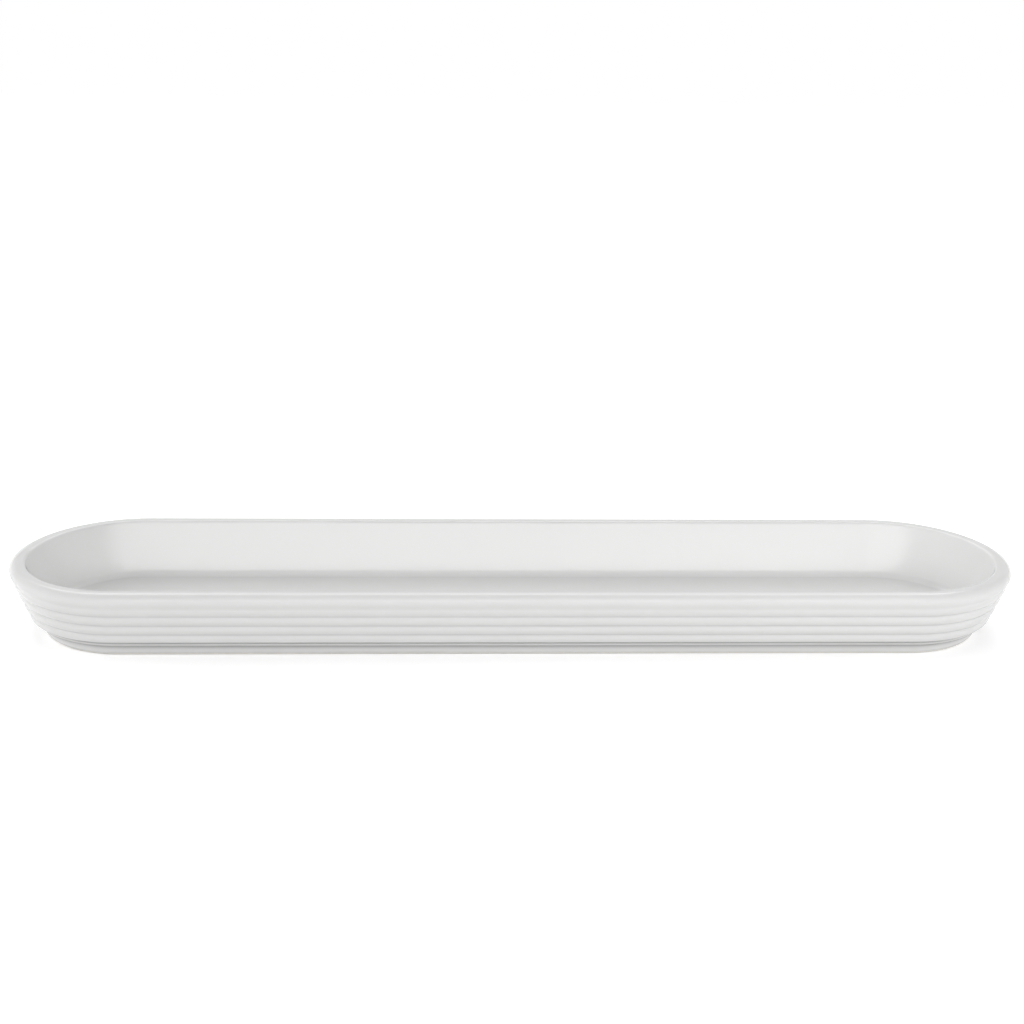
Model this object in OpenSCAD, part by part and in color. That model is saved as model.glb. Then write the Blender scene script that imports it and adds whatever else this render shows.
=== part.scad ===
// Asparagus plate: a long, narrow porcelain serving plate with straight sides and half-round ends.
// The wall flares up from a foot ring and carries level ridges outside; the inside is smooth.
// Millimetres, +Z up, long side along X. The origin is on the table, under the middle of the plate.

/* [Plate] */
// Overall length
plate_l = 360; // [240:1:480]
// Overall width
plate_w = 84; // [70:1:120]
// Overall height
plate_h = 26; // [23:0.5:34]

/* [Wall] */
// Thickness of the wall, over a ridge
wall_t = 6; // [4.5:0.1:7.5]
// Lean of the wall just under the rim, in degrees from upright
wall_lean = 17; // [10:0.5:22]
// Radius of the bow that the ridges' crests follow down the wall
wall_bow_r = 200; // [120:5:400]
// Rounding of the rim's outer edge
rim_outer_r = 2.6; // [1:0.1:3]
// Rounding of the rim's inner edge
rim_inner_r = 1; // [0.6:0.1:1.5]

/* [Ridges] */
// Number of ridges on the wall
ridge_n = 4; // [3:1:5]
// Height of the smooth band between the rim's top and the ridges
rim_band_h = 5; // [3.6:0.1:5.5]
// Radius of the smooth band's own bulge
rim_band_r = 6; // [4:0.5:10]
// Radius of the soft groove under the smooth band
band_groove_r = 2.5; // [1.5:0.1:3.5]
// Depth of the grooves between the ridges
groove_d = 0.6; // [0.3:0.05:0.8]
// Radius of the bottom of those grooves
groove_r = 0.5; // [0.3:0.05:0.9]
// Share of the lowest ridge that stands above the wall's lower lip
low_ridge_share = 0.78; // [0.78:0.01:1]
// Rounding of that lip
lip_r = 0.8; // [0.6:0.1:1]

/* [Floor] */
// Thickness of the floor
floor_t = 4; // [3.6:0.1:7]
// Fillet between the floor and the wall, inside
floor_fillet_r = 3; // [2:0.5:10]
// Height of the hollow under the floor
recess_h = 2.5; // [2.2:0.1:3.5]
// Fillet between the hollow's ceiling and the foot ring
recess_fillet_r = 1; // [0.6:0.1:1.2]

/* [Foot] */
// Height of the foot ring, up to the roll that carries the wall
foot_h = 4.2; // [3.4:0.1:5]
// Radius of the roll between the foot ring and the wall's lip
roll_r = 0.9; // [0.7:0.05:1.2]
// How far the roll stands in from the lip
roll_step = 2.2; // [1.4:0.1:3]
// Gap between the roll's top and the underside of the lip
roll_gap = 0.4; // [0.1:0.05:0.5]
// Radius of the bottom of the crease between the roll and the lip
low_groove_r = 0.3; // [0.3:0.05:0.5]
// How far the foot ring stands in from the roll's outermost line
foot_step = 1.7; // [1:0.1:2.1]
// Width of the foot ring at the table, before its edges are rounded
foot_w = 4.6; // [3.8:0.1:6]
// Taper of the foot ring's two sides, in degrees
foot_taper = 13.6; // [4:0.1:20]
// Rounding of the bare standing edge
foot_edge_r = 1; // [0.5:0.1:1.2]
// Fillet between the roll and the foot ring
foot_fillet_r = 0.3; // [0.2:0.05:0.8]

/* [Glaze] */
// Thickness of the glaze
glaze_t = 0.3; // [0.2:0.05:0.4]
// Height above the table at which the glaze ends on the foot ring
glaze_line_h = 0.9; // [0.9:0.05:1.2]
// Height over which the glaze thins out at that line
glaze_feather_h = 0.4; // [0.2:0.05:0.5]

/* [Hidden] */
$fn = 96;
// Largest distance between an arc of the section and its chords
chord_sag = 0.006;

// The section is drawn in r and z: r is the distance from the plate's middle line, or from the upright
// axis of a half-round end, and z is the height. Angles turn from +r towards +z.
end_r = plate_w / 2;
spine_l = plate_l - plate_w;
floor_z = recess_h + floor_t;

function at(angle) = [cos(angle), sin(angle)];

// Angle from one point to another: about zero for one further out, about 180 for one further in
function outward(from, to) = let (d = to - from) atan2(d[1], d[0]);
function inward(from, to) = 180 + outward(to, from);

// Points of an arc; its end is left out where the next arc starts there
function arc(centre, r, from, to, keep_end = false) =
    let (steps = max(2, ceil(abs(to - from) / (2 * acos(1 - chord_sag / r)))))
    [for (i = [0:keep_end ? steps : steps - 1]) centre + r * at(from + (to - from) * i / steps)];

// Centre of a circle of radius r that touches two circles from outside the wall, the lower one first
function touching(c1, r1, c2, r2, r) =
    let (
        gap = norm(c2 - c1),
        up = (c2 - c1) / gap,
        along = (gap ^ 2 + (r1 + r) ^ 2 - (r2 + r) ^ 2) / (2 * gap),
        out = sqrt((r1 + r) ^ 2 - along ^ 2)
    )
    c1 + along * up + out * [up[1], -up[0]];

// Wall: the rim's outer edge and the ridges' crests touch a circle of radius wall_bow_r round bow_c
rim_outer_c = [end_r - rim_outer_r, plate_h - rim_outer_r];
bow_c = rim_outer_c - (wall_bow_r - rim_outer_r) * at(-wall_lean);
inner_bow_r = wall_bow_r - wall_t;
rim_inner_turn = asin((bow_c[1] - plate_h + rim_inner_r) / (inner_bow_r + rim_inner_r));
rim_inner_c = bow_c + (inner_bow_r + rim_inner_r) * at(-rim_inner_turn);

// Ridges: equal turns round bow_c, from the smooth band down to the lip, which cuts the lowest one short
lip_z = foot_h + 2 * roll_r + roll_gap;
band_turn = asin((bow_c[1] - plate_h + rim_band_h) / wall_bow_r);
low_turn = asin((bow_c[1] - lip_z) / wall_bow_r);
ridge_turn = (low_turn - band_turn) / (ridge_n - 1 + low_ridge_share);
groove_orbit = wall_bow_r - groove_d + groove_r;
groove_reach = groove_orbit * cos(ridge_turn / 2);
ridge_r = (groove_orbit ^ 2 + wall_bow_r ^ 2 - 2 * groove_reach * wall_bow_r - groove_r ^ 2)
    / (2 * (wall_bow_r + groove_r - groove_reach));

function crest_turn(i) = band_turn + (i - 1 / 2) * ridge_turn;
function ridge_c(i) = bow_c + (wall_bow_r - ridge_r) * at(-crest_turn(i));
function groove_c(i) = bow_c + groove_orbit * at(-band_turn - i * ridge_turn);

band_c = bow_c + (wall_bow_r - rim_band_r) * at(-wall_lean);
band_groove_c = touching(ridge_c(1), ridge_r, band_c, rim_band_r, band_groove_r);

// Lip: the wall's lower edge, level on its underside
lip_turn = asin((bow_c[1] - lip_z - lip_r) / (wall_bow_r - lip_r));
lip_c = bow_c + (wall_bow_r - lip_r) * at(-lip_turn);
lip_edge = bow_c + wall_bow_r * at(-lip_turn);

// Roll: it stands in under the lip, and the crease touches it and the lip's underside
roll_c = [lip_edge[0] - roll_step - roll_r, foot_h + roll_r];
low_groove_z = lip_z - low_groove_r;
low_groove_reach = sqrt((roll_r + low_groove_r) ^ 2 - (low_groove_z - roll_c[1]) ^ 2);
low_groove_c = [roll_c[0] + low_groove_reach, low_groove_z];

// Foot ring: a point of its outer and of its inner side at height z, t under the finished surface
foot_outer_r = roll_c[0] + roll_r - foot_step - foot_h * tan(foot_taper);
foot_inner_r = foot_outer_r - foot_w;
function foot_outer(z, t) = [foot_outer_r + z * tan(foot_taper) - t / cos(foot_taper), z];
function foot_inner(z, t) = [foot_inner_r - z * tan(foot_taper) + t / cos(foot_taper), z];

// Fillet between the roll and the foot ring, which touches both
foot_out = at(-foot_taper);
foot_up = at(90 - foot_taper);
roll_reach = (roll_c - foot_outer(0, 0)) * foot_out - foot_fillet_r;
foot_fillet_c = roll_c - roll_reach * foot_out
    - sqrt((roll_r + foot_fillet_r) ^ 2 - roll_reach ^ 2) * foot_up;

// Fillet in the hollow under the floor
recess_fillet_z = recess_h - recess_fillet_r;
recess_fillet_c = foot_inner(recess_fillet_z, -recess_fillet_r);

// Fillet inside, which touches the wall's inner bow and the floor
floor_fillet_z = floor_z + floor_fillet_r;
floor_fillet_turn = asin((bow_c[1] - floor_fillet_z) / (inner_bow_r - floor_fillet_r));
floor_fillet_c = bow_c + (inner_bow_r - floor_fillet_r) * at(-floor_fillet_turn);

// Bare standing edge of the clay, rounded on both sides
edge_inset = foot_edge_r * (1 - sin(foot_taper)) / cos(foot_taper);
edge_inner_c = [foot_inner(0, glaze_t)[0] + edge_inset, foot_edge_r];
edge_outer_c = [foot_outer(0, glaze_t)[0] - edge_inset, foot_edge_r];

// Height at which a surface t under the finished one starts on the foot ring, where the glaze thins out
function start_z(t) = glaze_line_h + glaze_feather_h * (1 - t / glaze_t);

// The crease over the roll, the lip and the lowest ridge, read upwards
function lip(t) =
    let (crest = ridge_c(ridge_n), crest_at = -crest_turn(ridge_n))
    concat(
        arc(low_groove_c, low_groove_r + t, inward(low_groove_c, roll_c), 90, keep_end = true),
        arc(lip_c, lip_r - t, -90, -lip_turn),
        arc(bow_c, wall_bow_r - t, -lip_turn, crest_at),
        arc(crest, ridge_r - t, crest_at, outward(crest, groove_c(ridge_n - 1)))
    );

// A groove and the ridge above it, read upwards
function ridge(i, t) =
    let (
        groove = groove_c(i),
        crest = ridge_c(i),
        above = (i == 1) ? band_groove_c : groove_c(i - 1)
    )
    concat(
        arc(groove, groove_r + t, inward(groove, ridge_c(i + 1)), inward(groove, crest)),
        arc(crest, ridge_r - t, outward(crest, groove), outward(crest, above))
    );

// The surface t under the finished one, from the foot ring's outside over the rim to the floor's middle
function over(t) = concat(
    [foot_outer(start_z(t), t)],
    arc(foot_fillet_c, foot_fillet_r + t, 180 - foot_taper, inward(foot_fillet_c, roll_c)),
    arc(roll_c, roll_r - t, outward(roll_c, foot_fillet_c), outward(roll_c, low_groove_c)),
    lip(t),
    [for (i = [ridge_n - 1:-1:1]) each ridge(i, t)],
    arc(band_groove_c, band_groove_r + t,
        inward(band_groove_c, ridge_c(1)), inward(band_groove_c, band_c)),
    arc(band_c, rim_band_r - t, outward(band_c, band_groove_c), -wall_lean),
    arc(rim_outer_c, rim_outer_r - t, -wall_lean, 90, keep_end = true),
    arc(rim_inner_c, rim_inner_r - t, 90, 180 - rim_inner_turn),
    arc(bow_c, inner_bow_r + t, -rim_inner_turn, -floor_fillet_turn),
    arc(floor_fillet_c, floor_fillet_r + t, -floor_fillet_turn, -90, keep_end = true),
    [[0, floor_z - t]]
);

// The surface t under the finished one in the hollow, from its middle out to the foot ring's inside
function under(t) = concat(
    [[0, recess_h + t]],
    arc(recess_fillet_c, recess_fillet_r + t, 90, foot_taper, keep_end = true),
    [foot_inner(start_z(t), t)]
);

bare_edge = concat(
    arc(edge_inner_c, foot_edge_r, 180 + foot_taper, 270, keep_end = true),
    arc(edge_outer_c, foot_edge_r, -90, -foot_taper, keep_end = true)
);

function reversed(path) = [for (i = [len(path) - 1:-1:0]) path[i]];
// The path on the other side of the middle line, without its points on that line
function mirrored(path) = [for (p = reversed(path)) if (p[0] > 0) [-p[0], p[1]]];

// One piece: its half section turns round the ends, and its whole section runs along the sides
module trough(half, whole) {
    rotate([90, 0, 90])
        linear_extrude(height = spine_l, center = true)
            polygon(whole);
    for (side = [-1, 1])
        translate([side * spine_l / 2, 0, 0])
            rotate([0, 0, -side * 90])
                rotate_extrude(angle = 180)
                    polygon(half);
}

// Fired clay: floor, ridged wall, rim and foot ring, bare on its standing edge
module porcelain_body() {
    half = concat(under(glaze_t), bare_edge, over(glaze_t));
    color("ivory")
        trough(half, concat(half, mirrored(half)));
}

// Glass coat over the inside, the rim and the outside, down to the glaze line on the foot ring
module glaze_coat() {
    finish = over(0);
    clay = over(glaze_t);
    color("whitesmoke")
        trough(
            concat(finish, reversed(clay)),
            concat(finish, mirrored(finish), reversed(concat(clay, mirrored(clay))))
        );
}

// Glass coat in the hollow under the floor
module foot_well_glaze() {
    finish = under(0);
    clay = under(glaze_t);
    color("white")
        trough(
            concat(finish, reversed(clay)),
            concat(mirrored(finish), finish, reversed(concat(mirrored(clay), clay)))
        );
}

porcelain_body();
glaze_coat();
foot_well_glaze();
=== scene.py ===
# Asparagus plate: a long white glazed porcelain plate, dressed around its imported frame.
# Metres, in the frame of the part: long side along X, +Z up, the table at zero.

import math

import bmesh
import bpy
from mathutils import Matrix, Vector


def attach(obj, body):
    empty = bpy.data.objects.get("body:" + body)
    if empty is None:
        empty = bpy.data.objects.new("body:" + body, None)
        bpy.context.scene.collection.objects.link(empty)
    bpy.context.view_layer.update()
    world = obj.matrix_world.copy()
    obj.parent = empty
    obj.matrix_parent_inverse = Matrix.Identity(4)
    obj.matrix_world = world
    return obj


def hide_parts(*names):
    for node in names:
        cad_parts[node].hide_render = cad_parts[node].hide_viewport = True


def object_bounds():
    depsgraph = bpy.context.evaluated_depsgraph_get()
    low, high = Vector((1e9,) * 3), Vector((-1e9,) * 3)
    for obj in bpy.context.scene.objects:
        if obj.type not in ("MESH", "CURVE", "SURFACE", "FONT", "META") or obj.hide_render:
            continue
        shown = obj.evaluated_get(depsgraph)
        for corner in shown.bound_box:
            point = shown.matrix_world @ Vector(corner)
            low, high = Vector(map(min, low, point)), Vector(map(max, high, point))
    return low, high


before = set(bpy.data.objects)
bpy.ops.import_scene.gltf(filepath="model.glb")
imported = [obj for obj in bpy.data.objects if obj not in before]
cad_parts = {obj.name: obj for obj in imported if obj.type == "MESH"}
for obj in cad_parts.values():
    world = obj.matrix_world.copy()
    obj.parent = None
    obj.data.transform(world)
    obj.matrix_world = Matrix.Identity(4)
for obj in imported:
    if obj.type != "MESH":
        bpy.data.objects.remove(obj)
cad_low, cad_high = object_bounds()

MM = 0.001
UP = Vector((0, 0, 1))

# Driving sizes: the plate's box is the frame's, and the sizes of its section repeat the part's.
plate_l, plate_w, plate_h = (round(side, 4) for side in cad_high - cad_low)
wall_t = 6 * MM
wall_lean = math.radians(17)
wall_bow_r = 200 * MM
rim_outer_r = 2.6 * MM
rim_inner_r = 1 * MM
ridge_n = 4
rim_band_h = 5 * MM
rim_band_r = 6 * MM
band_groove_r = 2.5 * MM
groove_d = 0.6 * MM
groove_r = 0.5 * MM
low_ridge_share = 0.78
lip_r = 0.8 * MM
floor_t = 4 * MM
floor_fillet_r = 3 * MM
recess_h = 2.5 * MM
recess_fillet_r = 1 * MM
foot_h = 4.2 * MM
roll_r = 0.9 * MM
roll_step = 2.2 * MM
roll_gap = 0.4 * MM
low_groove_r = 0.3 * MM
foot_step = 1.7 * MM
foot_w = 4.6 * MM
foot_taper = math.radians(13.6)
foot_edge_r = 1 * MM
foot_fillet_r = 0.3 * MM
glaze_t = 0.3 * MM
glaze_line_h = 0.9 * MM
glaze_feather_h = 0.4 * MM

# How finely the surfaces are cut
chord_sag = 0.003 * MM
end_steps = 96
side_steps = 12
line_steps = 6
weld = 0.002 * MM
sharp_turn = math.radians(40)

QUARTER = math.pi / 2
HALF = math.pi


# Section of the plate: r outwards from the middle line, z up, angles from +r towards +z.

def at(angle):
    return Vector((math.cos(angle), math.sin(angle)))


def outward(start, end):
    """Angle from one point of the section to another that is further out."""
    r, z = end - start
    return math.atan2(z, r)


def inward(start, end):
    """Angle from one point of the section to another that is further in."""
    return HALF + outward(end, start)


def touching(low_c, low_r, high_c, high_r, r):
    """Centre of a circle of radius r that touches two circles from outside the wall."""
    gap = (high_c - low_c).length
    up = (high_c - low_c) / gap
    along = (gap ** 2 + (low_r + r) ** 2 - (high_r + r) ** 2) / (2 * gap)
    out = math.sqrt((low_r + r) ** 2 - along ** 2)
    return low_c + along * up + out * Vector((up.y, -up.x))


end_r = plate_w / 2
spine_l = plate_l - plate_w
floor_z = recess_h + floor_t

rim_outer_c = Vector((end_r - rim_outer_r, plate_h - rim_outer_r))
bow_c = rim_outer_c - (wall_bow_r - rim_outer_r) * at(-wall_lean)
inner_bow_r = wall_bow_r - wall_t
rim_inner_turn = math.asin((bow_c.y - plate_h + rim_inner_r) / (inner_bow_r + rim_inner_r))
rim_inner_c = bow_c + (inner_bow_r + rim_inner_r) * at(-rim_inner_turn)

lip_z = foot_h + 2 * roll_r + roll_gap
band_turn = math.asin((bow_c.y - plate_h + rim_band_h) / wall_bow_r)
low_turn = math.asin((bow_c.y - lip_z) / wall_bow_r)
ridge_turn = (low_turn - band_turn) / (ridge_n - 1 + low_ridge_share)
groove_orbit = wall_bow_r - groove_d + groove_r
groove_reach = groove_orbit * math.cos(ridge_turn / 2)
ridge_r = ((groove_orbit ** 2 + wall_bow_r ** 2 - 2 * groove_reach * wall_bow_r - groove_r ** 2)
           / (2 * (wall_bow_r + groove_r - groove_reach)))


def crest_turn(i):
    return band_turn + (i - 1 / 2) * ridge_turn


def ridge_c(i):
    return bow_c + (wall_bow_r - ridge_r) * at(-crest_turn(i))


def groove_c(i):
    return bow_c + groove_orbit * at(-band_turn - i * ridge_turn)


band_c = bow_c + (wall_bow_r - rim_band_r) * at(-wall_lean)
band_groove_c = touching(ridge_c(1), ridge_r, band_c, rim_band_r, band_groove_r)

lip_turn = math.asin((bow_c.y - lip_z - lip_r) / (wall_bow_r - lip_r))
lip_c = bow_c + (wall_bow_r - lip_r) * at(-lip_turn)
lip_edge = bow_c + wall_bow_r * at(-lip_turn)
roll_c = Vector((lip_edge.x - roll_step - roll_r, foot_h + roll_r))
low_groove_z = lip_z - low_groove_r
low_groove_reach = math.sqrt((roll_r + low_groove_r) ** 2 - (low_groove_z - roll_c.y) ** 2)
low_groove_c = Vector((roll_c.x + low_groove_reach, low_groove_z))

foot_outer_r = roll_c.x + roll_r - foot_step - foot_h * math.tan(foot_taper)
foot_inner_r = foot_outer_r - foot_w


def foot_outer(z, t):
    """Point of the foot ring's outer side, t under the finished surface."""
    return Vector((foot_outer_r + z * math.tan(foot_taper) - t / math.cos(foot_taper), z))


def foot_inner(z, t):
    """Point of the foot ring's inner side, t under the finished surface."""
    return Vector((foot_inner_r - z * math.tan(foot_taper) + t / math.cos(foot_taper), z))


foot_out = at(-foot_taper)
foot_up = at(QUARTER - foot_taper)
roll_reach = (roll_c - foot_outer(0, 0)).dot(foot_out) - foot_fillet_r
foot_fillet_c = (roll_c - roll_reach * foot_out
                 - math.sqrt((roll_r + foot_fillet_r) ** 2 - roll_reach ** 2) * foot_up)
recess_fillet_c = foot_inner(recess_h - recess_fillet_r, -recess_fillet_r)
floor_fillet_z = floor_z + floor_fillet_r
floor_fillet_turn = math.asin((bow_c.y - floor_fillet_z) / (inner_bow_r - floor_fillet_r))
floor_fillet_c = bow_c + (inner_bow_r - floor_fillet_r) * at(-floor_fillet_turn)
edge_inset = foot_edge_r * (1 - math.sin(foot_taper)) / math.cos(foot_taper)
edge_inner_c = Vector((foot_inner(0, glaze_t).x + edge_inset, foot_edge_r))
edge_outer_c = Vector((foot_outer(0, glaze_t).x - edge_inset, foot_edge_r))


def start_z(t):
    """Height at which a surface t under the finished one starts on the foot ring."""
    return glaze_line_h + glaze_feather_h * (1 - t / glaze_t)


# How steeply the glaze pools towards a groove, the painted crease shade closes, and both fade along
# a line
pool_power = 4
crease_power = 0.7
fade_power = 3

# How much the glaze pools and how dark its painted crease shade is, 0 to 1, along each kind of arc
GLAZE_POOL_AND_CREASE_SHADE = {
    "even": lambda way: (0, 0),
    "thin": lambda way: (abs(2 * way - 1) ** pool_power, 0),
    "pooled": lambda way: (1, 0),
    "pooling": lambda way: (way ** pool_power, 0),
    "thinning": lambda way: ((1 - way) ** pool_power, 0),
    "creased": lambda way: (1, 1),
    "closing": lambda way: (way, way ** crease_power),
    "opening": lambda way: (1 - way, (1 - way) ** crease_power),
}
BACKWARDS = {"pooling": "thinning", "closing": "opening", "opening": "closing"}


# An arc is its centre, its radius, its first and last angle, and its kind of glaze and painted
# crease shade.

def lip(t):
    """The crease over the roll, the wall's lower lip and the lowest ridge, read upwards."""
    crest, crest_at = ridge_c(ridge_n), -crest_turn(ridge_n)
    return [
        (low_groove_c, low_groove_r + t, inward(low_groove_c, roll_c), QUARTER, "creased"),
        (lip_c, lip_r - t, -QUARTER, -lip_turn, "opening"),
        (bow_c, wall_bow_r - t, -lip_turn, crest_at, "even"),
        (crest, ridge_r - t, crest_at, outward(crest, groove_c(ridge_n - 1)), "pooling"),
    ]


def ridge(i, t):
    """A groove and the ridge above it, read upwards."""
    groove, crest = groove_c(i), ridge_c(i)
    above = band_groove_c if i == 1 else groove_c(i - 1)
    return [
        (groove, groove_r + t, inward(groove, ridge_c(i + 1)), inward(groove, crest), "pooled"),
        (crest, ridge_r - t, outward(crest, groove), outward(crest, above), "thin"),
    ]


def over(t):
    """The surface t under the finished one, from the foot's outside over the rim to the floor."""
    arcs = [
        (foot_fillet_c, foot_fillet_r + t,
         HALF - foot_taper, inward(foot_fillet_c, roll_c), "creased"),
        (roll_c, roll_r - t, outward(roll_c, foot_fillet_c), 0, "opening"),
        (roll_c, roll_r - t, 0, outward(roll_c, low_groove_c), "closing"),
    ]
    arcs += lip(t)
    for i in range(ridge_n - 1, 0, -1):
        arcs += ridge(i, t)
    return arcs + [
        (band_groove_c, band_groove_r + t,
         inward(band_groove_c, ridge_c(1)), inward(band_groove_c, band_c), "even"),
        (band_c, rim_band_r - t, outward(band_c, band_groove_c), -wall_lean, "even"),
        (rim_outer_c, rim_outer_r - t, -wall_lean, QUARTER, "even"),
        (rim_inner_c, rim_inner_r - t, QUARTER, HALF - rim_inner_turn, "even"),
        (bow_c, inner_bow_r + t, -rim_inner_turn, -floor_fillet_turn, "even"),
        (floor_fillet_c, floor_fillet_r + t, -floor_fillet_turn, -QUARTER, "even"),
    ]


def under(t):
    """The surface t under the finished one, from the hollow's ceiling to the foot's inside."""
    return [(recess_fillet_c, recess_fillet_r + t, QUARTER, foot_taper, "even")]


def backwards(arcs):
    return [
        (centre, r, last, first, BACKWARDS.get(glaze, glaze))
        for centre, r, first, last, glaze in reversed(arcs)
    ]


def spot(point):
    """A point of the section, on the near side at the right-hand end of the straight sides."""
    return Vector((spine_l / 2, -point.x, point.y))


class Outline:
    """A piece's outline, drawn from the middle line and back to it in the plane of the section."""

    def __init__(self, start):
        self.mesh = bmesh.new()
        self.pool = self.mesh.verts.layers.float.new("glaze_pool")
        # The crease layer darkens the glaze colour: painted shade in the creases
        self.crease = self.mesh.verts.layers.float.new("crease_shade")
        self.tip = self.mesh.verts.new(spot(start))

    def coat(self, vert, pool, crease):
        vert[self.pool], vert[self.crease] = pool, crease

    def line(self, end, end_coat=(0, 0)):
        """A straight stretch, cut so that shading and glaze change only near its ends."""
        start_coat = self.tip[self.pool], self.tip[self.crease]
        step = (spot(end) - self.tip.co) / line_steps
        if step.length * line_steps > weld:
            for i in range(1, line_steps + 1):
                grown = bmesh.ops.extrude_vert_indiv(self.mesh, verts=[self.tip])
                self.tip = grown["verts"][0]
                self.tip.co += step
                way = i / line_steps
                self.coat(self.tip, *(
                    max(before * (1 - way) ** fade_power, after * way ** fade_power)
                    for before, after in zip(start_coat, end_coat)
                ))

    def arc(self, centre, r, first, last, glaze):
        """A straight stretch to the arc's first point, then the arc."""
        self.line(centre + r * at(first), GLAZE_POOL_AND_CREASE_SHADE[glaze](0))
        steps = max(2, math.ceil(abs(last - first) / (2 * math.acos(1 - chord_sag / r))))
        drawn = len(self.mesh.verts)
        spun = bmesh.ops.spin(
            self.mesh, geom=[self.tip], cent=spot(centre), axis=(-1, 0, 0),
            angle=last - first, steps=steps,
        )
        self.mesh.verts.ensure_lookup_table()
        for step, vert in enumerate(self.mesh.verts[drawn:], 1):
            self.coat(vert, *GLAZE_POOL_AND_CREASE_SHADE[glaze](step / steps))
        self.tip = next(v for v in spun["geom_last"] if isinstance(v, bmesh.types.BMVert))

    def path(self, arcs, end):
        for arc in arcs:
            self.arc(*arc)
        self.line(end)


def trough(name, outline):
    """Turns an outline round one end and runs it along a side, twice, back to its start."""
    mesh = outline.mesh
    ring = mesh.verts[:] + mesh.edges[:]
    for side in (1, -1):
        ring = bmesh.ops.spin(
            mesh, geom=ring, cent=(side * spine_l / 2, 0, 0), axis=UP, angle=HALF, steps=end_steps,
        )["geom_last"]
        ring = bmesh.ops.spin(
            mesh, geom=ring, axis=UP, angle=0, steps=side_steps,
            dvec=(-side * spine_l / side_steps, 0, 0),
        )["geom_last"]
    bmesh.ops.remove_doubles(mesh, verts=mesh.verts, dist=weld)
    bmesh.ops.recalc_face_normals(mesh, faces=mesh.faces)
    for face in mesh.faces:
        face.smooth = True
    data = bpy.data.meshes.new(name)
    mesh.to_mesh(data)
    mesh.free()
    data.set_sharp_from_angle(angle=sharp_turn)
    piece = bpy.data.objects.new(name, data)
    bpy.context.scene.collection.objects.link(piece)
    return piece


floor_top = Vector((0, floor_z))
floor_clay = Vector((0, floor_z - glaze_t))
well_top = Vector((0, recess_h))
well_clay = Vector((0, recess_h + glaze_t))

clay_line = Outline(well_clay)
clay_line.path(under(glaze_t), foot_inner(start_z(glaze_t), glaze_t))
clay_line.path(
    [
        (edge_inner_c, foot_edge_r, HALF + foot_taper, HALF + QUARTER, "even"),
        (edge_outer_c, foot_edge_r, -QUARTER, -foot_taper, "even"),
    ],
    foot_outer(start_z(glaze_t), glaze_t),
)
clay_line.path(over(glaze_t), floor_clay)
porcelain_clay = trough("porcelain_clay", clay_line)

coat_line = Outline(floor_top)
coat_line.path(backwards(over(0)), foot_outer(start_z(0), 0))
coat_line.line(foot_outer(start_z(glaze_t), glaze_t))
coat_line.path(over(glaze_t), floor_clay)
glaze_skin = trough("glaze_skin", coat_line)

well_line = Outline(well_top)
well_line.path(under(0), foot_inner(start_z(0), 0))
well_line.line(foot_inner(start_z(glaze_t), glaze_t))
well_line.path(backwards(under(glaze_t)), well_clay)
foot_well_skin = trough("foot_well_skin", well_line)


# Materials

class Wire:
    """An output socket; arithmetic on it adds Math nodes to its tree."""

    def __init__(self, tree, socket):
        self.tree = tree
        self.socket = socket

    def math(self, operation, first, second):
        return make(self.tree, "ShaderNodeMath", {"operation": operation}, {0: first, 1: second})

    def __add__(self, other):
        return self.math("ADD", self, other)

    def __radd__(self, other):
        return self.math("ADD", other, self)

    def __sub__(self, other):
        return self.math("SUBTRACT", self, other)

    def __rsub__(self, other):
        return self.math("SUBTRACT", other, self)

    def __mul__(self, other):
        return self.math("MULTIPLY", self, other)


def make(tree, kind, settings=None, inputs=None, output=0):
    """Adds a node: its settings first, then the values or wires of its sockets."""
    node = tree.nodes.new(kind)
    for name, value in (settings or {}).items():
        setattr(node, name, value)
    for key, value in (inputs or {}).items():
        if isinstance(value, Wire):
            tree.links.new(value.socket, node.inputs[key])
        else:
            node.inputs[key].default_value = value
    return Wire(tree, node.outputs[output]) if node.outputs else node


# The sockets of a Mix node that carry colours
MIX_A, MIX_B, MIX_COLOUR = 6, 7, 2


def mix(tree, share, first, second):
    """A colour between two others."""
    return make(
        tree, "ShaderNodeMix", {"data_type": "RGBA", "clamp_factor": True},
        {0: share, MIX_A: (*first, 1) if isinstance(first, tuple) else first,
         MIX_B: (*second, 1) if isinstance(second, tuple) else second},
        MIX_COLOUR,
    )


def fresh_material(name):
    material = bpy.data.materials.new(name)
    material.use_nodes = True
    material.node_tree.nodes.clear()
    return material, material.node_tree


def noise(tree, place, feature, detail):
    """A soft noise from 0 to 1 with features of that size, in metres."""
    return make(
        tree, "ShaderNodeTexNoise", {"noise_dimensions": "3D"},
        {"Vector": place, "Scale": 1 / feature, "Detail": detail, "Roughness": 0.5},
    )


# Glaze: its colours and painted crease shade, the share each cause has in them, its ripples and
# gloss
thin_white = (0.85, 0.85, 0.845)
pooled_white = (0.785, 0.788, 0.783)
# Painted shade: the grey that darkens the creases over and under the roll
crease_shade_grey = (0.22, 0.22, 0.217)
pool_share, cloud_share, crease_shade_share = 0.8, 0.12, 0.9
wave_d, peel_share = 0.06 * MM, 0.06
gloss_least, gloss_spread = 0.05, 0.06
glaze_ior = 1.5

# Bare clay: its colours, the share that each cause has in them, its grain and its rubbed edge
pale_clay = (0.85, 0.83, 0.79)
dark_clay = (0.77, 0.75, 0.71)
rubbed_grey = (0.58, 0.565, 0.54)
grain_share, blotch_share = 0.5, 0.4
grain_d = 0.02 * MM
rubbed_h = 0.35 * MM
clay_rough, rubbed_smooth = 0.9, 0.25
clay_ior = 1.45


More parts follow.
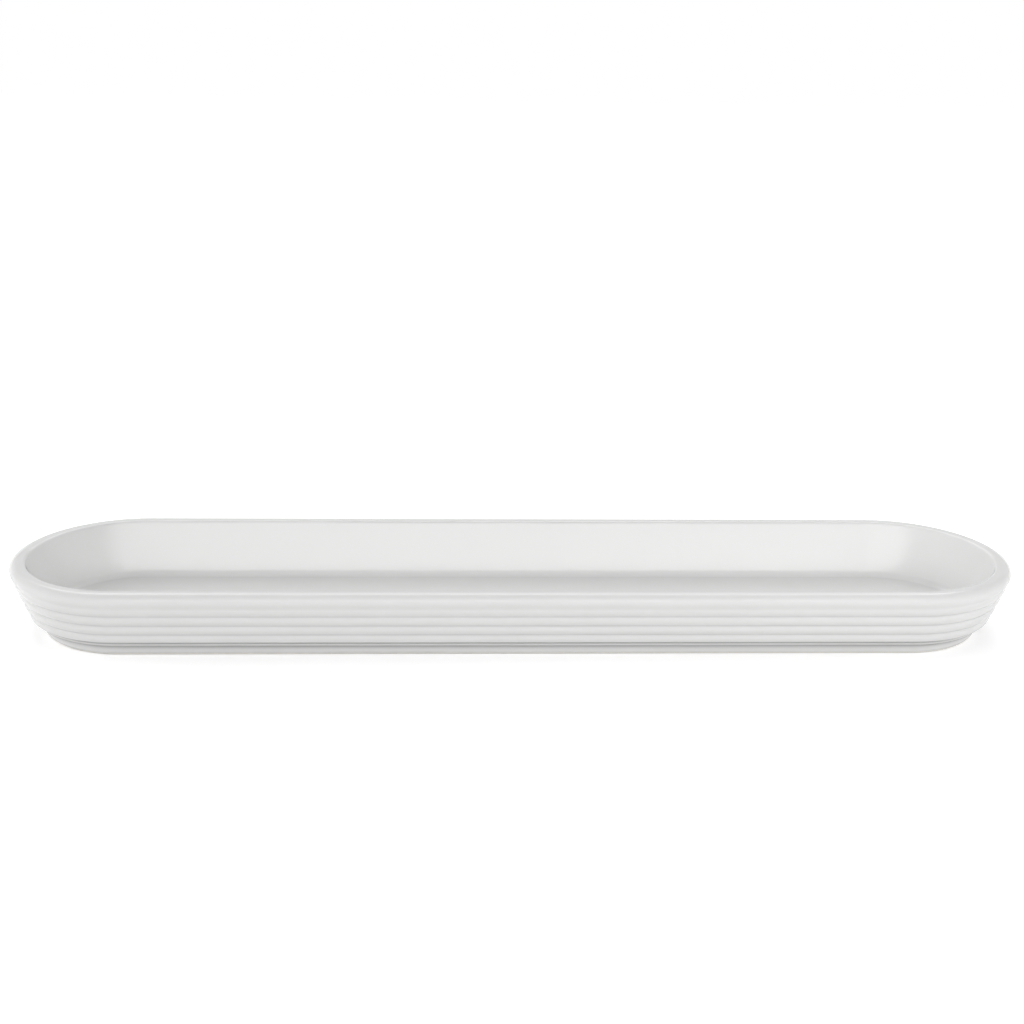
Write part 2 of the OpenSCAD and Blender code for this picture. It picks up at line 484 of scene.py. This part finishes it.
def white_glaze():
    """Clear gloss glaze on white clay: deeper in the grooves, with painted shade grey in the
    creases, faintly wavy.
    """
    material, tree = fresh_material("white_glaze_gloss")
    place = make(tree, "ShaderNodeTexCoord", output="Object")
    pool = make(tree, "ShaderNodeAttribute", {"attribute_name": "glaze_pool"}, output="Fac")
    crease = make(tree, "ShaderNodeAttribute", {"attribute_name": "crease_shade"}, output="Fac")
    cloud = noise(tree, place, feature=40 * MM, detail=3.0)
    peel = noise(tree, place, feature=3.5 * MM, detail=1.0)
    wave = noise(tree, place, feature=30 * MM, detail=1.0)
    white = mix(tree, pool * pool_share + cloud * cloud_share, thin_white, pooled_white)
    # Painted shade: the creases darken towards grey
    colour = mix(tree, crease * crease_shade_share, white, crease_shade_grey)
    bump = make(
        tree, "ShaderNodeBump", None,
        {"Strength": 1.0, "Distance": wave_d, "Height": peel * peel_share + wave},
    )
    shader = make(
        tree, "ShaderNodeBsdfPrincipled", None,
        {"Base Color": colour, "Roughness": gloss_least + cloud * gloss_spread,
         "IOR": glaze_ior, "Normal": bump},
    )
    make(tree, "ShaderNodeOutputMaterial", None, {"Surface": shader})
    return material


def bare_porcelain():
    """Fired, unglazed clay: matte, fine-grained, and greyed where the standing edge rubs."""
    material, tree = fresh_material("bare_porcelain_matte")
    place = make(tree, "ShaderNodeTexCoord", output="Object")
    height = make(tree, "ShaderNodeSeparateXYZ", None, {0: place}, output="Z")
    grain = noise(tree, place, feature=0.35 * MM, detail=2.0)
    blotch = noise(tree, place, feature=12 * MM, detail=3.0)
    rubbed = make(
        tree, "ShaderNodeMapRange", None,
        {"Value": height, "From Min": 0.0, "From Max": rubbed_h, "To Min": 1.0, "To Max": 0.0},
    )
    fired = mix(tree, grain * grain_share + blotch * blotch_share, pale_clay, dark_clay)
    colour = mix(tree, rubbed * blotch, fired, rubbed_grey)
    bump = make(
        tree, "ShaderNodeBump", None,
        {"Strength": 1.0, "Distance": grain_d, "Height": grain},
    )
    shader = make(
        tree, "ShaderNodeBsdfPrincipled", None,
        {"Base Color": colour, "Roughness": clay_rough - rubbed * rubbed_smooth,
         "IOR": clay_ior, "Normal": bump},
    )
    make(tree, "ShaderNodeOutputMaterial", None, {"Surface": shader})
    return material


glaze = white_glaze()
clay = bare_porcelain()

for piece, material, node, slot in (
    (porcelain_clay, clay, "porcelain_body", "bare_porcelain"),
    (glaze_skin, glaze, "glaze_coat", "white_glaze"),
    (foot_well_skin, glaze, "foot_well_glaze", "white_glaze"),
):
    piece.data.materials.append(material)
    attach(piece, "root")
    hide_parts(node)


# Studio: a white floor and surround, and soft lamps, the nearest of them at the right-hand end.

ambient = 0.15
overhead_white = 0.7
white_below, grey_above = 0.2, 0.45
floor_size = 8.0
floor_white = 0.9
near_glow, far_glow = 0.43, 1.0
glow_from, glow_to = 0.3, 1.3

plate_middle = Vector((0, 0, plate_h / 2))
right_end = Vector((plate_l / 2, 0, plate_h / 2))
right_half = Vector((0.15, 0, plate_h / 2))

# Each lamp: its place, what it is turned to, its width and height, its power in watts, and whether
# the glaze mirrors it
lamps = {
    "front_narrow": (Vector((0.0, -1.28, 0.47)), plate_middle, (1.0, 0.36), 0.9, True),
    "front": (Vector((0.0, -1.3, 0.47)), plate_middle, (1.6, 0.36), 1.45, True),
    "front_wide": (Vector((0.0, -1.32, 0.47)), plate_middle, (2.2, 0.36), 2.0, True),
    "high_left": (Vector((-0.9, -0.8, 1.1)), plate_middle, (1.6, 1.0), 2.4, False),
    "front_right": (Vector((0.45, -0.65, 0.45)), right_half, (0.8, 0.6), 2.15, False),
    "right": (Vector((0.6, -0.32, 0.24)), right_end, (0.45, 0.4), 0.55, False),
    "left": (Vector((-1.3, 0.0, 0.45)), plate_middle, (1.6, 0.8), 8.0, False),
    "back": (Vector((0.0, 1.05, 0.9)), plate_middle, (1.4, 0.7), 5.0, True),
    "top_back": (Vector((0.0, 0.75, 1.1)), plate_middle, (1.6, 0.8), 4.0, True),
}


def seen(tree):
    """1 for rays from the camera and for reflections, else 0."""
    direct = make(tree, "ShaderNodeLightPath", output="Is Camera Ray")
    mirrored = make(tree, "ShaderNodeLightPath", output="Is Glossy Ray")
    return direct.math("MAXIMUM", direct, mirrored)


floor_mesh = bmesh.new()
bmesh.ops.create_grid(floor_mesh, x_segments=1, y_segments=1, size=floor_size / 2)
floor_data = bpy.data.meshes.new("studio_floor")
floor_mesh.to_mesh(floor_data)
floor_mesh.free()
studio_floor = bpy.data.objects.new("studio_floor", floor_data)
bpy.context.scene.collection.objects.link(studio_floor)

floor_material, floor_tree = fresh_material("studio_floor_white")
floor_spot = make(floor_tree, "ShaderNodeTexCoord", output="Object")
from_plate = make(
    floor_tree, "ShaderNodeVectorMath", {"operation": "LENGTH"}, {0: floor_spot}, output="Value",
)
floor_glow = make(
    floor_tree, "ShaderNodeMapRange", None,
    {"Value": from_plate, "From Min": glow_from, "From Max": glow_to,
     "To Min": near_glow, "To Max": far_glow},
)
floor_paint = make(
    floor_tree, "ShaderNodeBsdfDiffuse", None, {"Color": (floor_white,) * 3 + (1,)},
)
floor_light = make(
    floor_tree, "ShaderNodeEmission", None, {"Strength": floor_glow * seen(floor_tree)},
)
floor_shader = make(
    floor_tree, "ShaderNodeAddShader", None, {0: floor_paint, 1: floor_light},
)
make(floor_tree, "ShaderNodeOutputMaterial", None, {"Surface": floor_shader})
floor_data.materials.append(floor_material)

world = bpy.data.worlds.new("studio")
world.use_nodes = True
world_tree = world.node_tree
world_tree.nodes.clear()
world_way = make(world_tree, "ShaderNodeTexCoord", output="Generated")
world_rise = make(world_tree, "ShaderNodeSeparateXYZ", None, {0: world_way}, output="Z")
surround_white = make(
    world_tree, "ShaderNodeMapRange", {"interpolation_type": "SMOOTHSTEP"},
    {"Value": world_rise, "From Min": white_below, "From Max": grey_above,
     "To Min": 1.0, "To Max": overhead_white},
)
surround = make(
    world_tree, "ShaderNodeBackground", None,
    {"Color": (1, 1, 1, 1), "Strength": ambient + (surround_white - ambient) * seen(world_tree)},
)
make(world_tree, "ShaderNodeOutputWorld", None, {"Surface": surround})
bpy.context.scene.world = world

for name, (place, aim, (width, height), power, mirrored) in lamps.items():
    lamp_data = bpy.data.lights.new(name, "AREA")
    lamp_data.shape = "RECTANGLE"
    lamp_data.size, lamp_data.size_y = width, height
    lamp_data.energy = power
    lamp = bpy.data.objects.new(name, lamp_data)
    lamp.matrix_world = (
        Matrix.Translation(place) @ (place - aim).to_track_quat("Z", "Y").to_matrix().to_4x4()
    )
    lamp.visible_glossy = mirrored
    bpy.context.scene.collection.objects.link(lamp)

# Camera: where it stands round the plate, how high, and how it is turned from the plate's middle.
image_px = 1024
camera_turn = -0.0535
camera_rise = 0.3674
camera_roll = 0.0196
camera_distance = 541.25 * MM
camera_focus_px = 1478.94
plate_px = Vector((517.25, 587.21))

off_axis = plate_px - Vector((image_px / 2, image_px / 2))
camera_data = bpy.data.cameras.new("camera")
camera_data.sensor_width = 36
camera_data.lens = camera_focus_px / image_px * camera_data.sensor_width
camera_data.clip_start = 10 * MM
camera = bpy.data.objects.new("camera", camera_data)
camera.matrix_world = (
    Matrix.Translation(plate_middle)
    @ Matrix.Rotation(camera_turn, 4, "Z")
    @ Matrix.Rotation(QUARTER - camera_rise, 4, "X")
    @ Matrix.Translation((0, 0, camera_distance))
    @ Matrix.Rotation(math.atan2(off_axis.x, camera_focus_px), 4, "Y")
    @ Matrix.Rotation(math.atan2(off_axis.y, camera_focus_px), 4, "X")
    @ Matrix.Rotation(camera_roll, 4, "Z")
)
bpy.context.scene.collection.objects.link(camera)
bpy.context.scene.camera = camera

bpy.context.scene.view_settings.view_transform = "Standard"
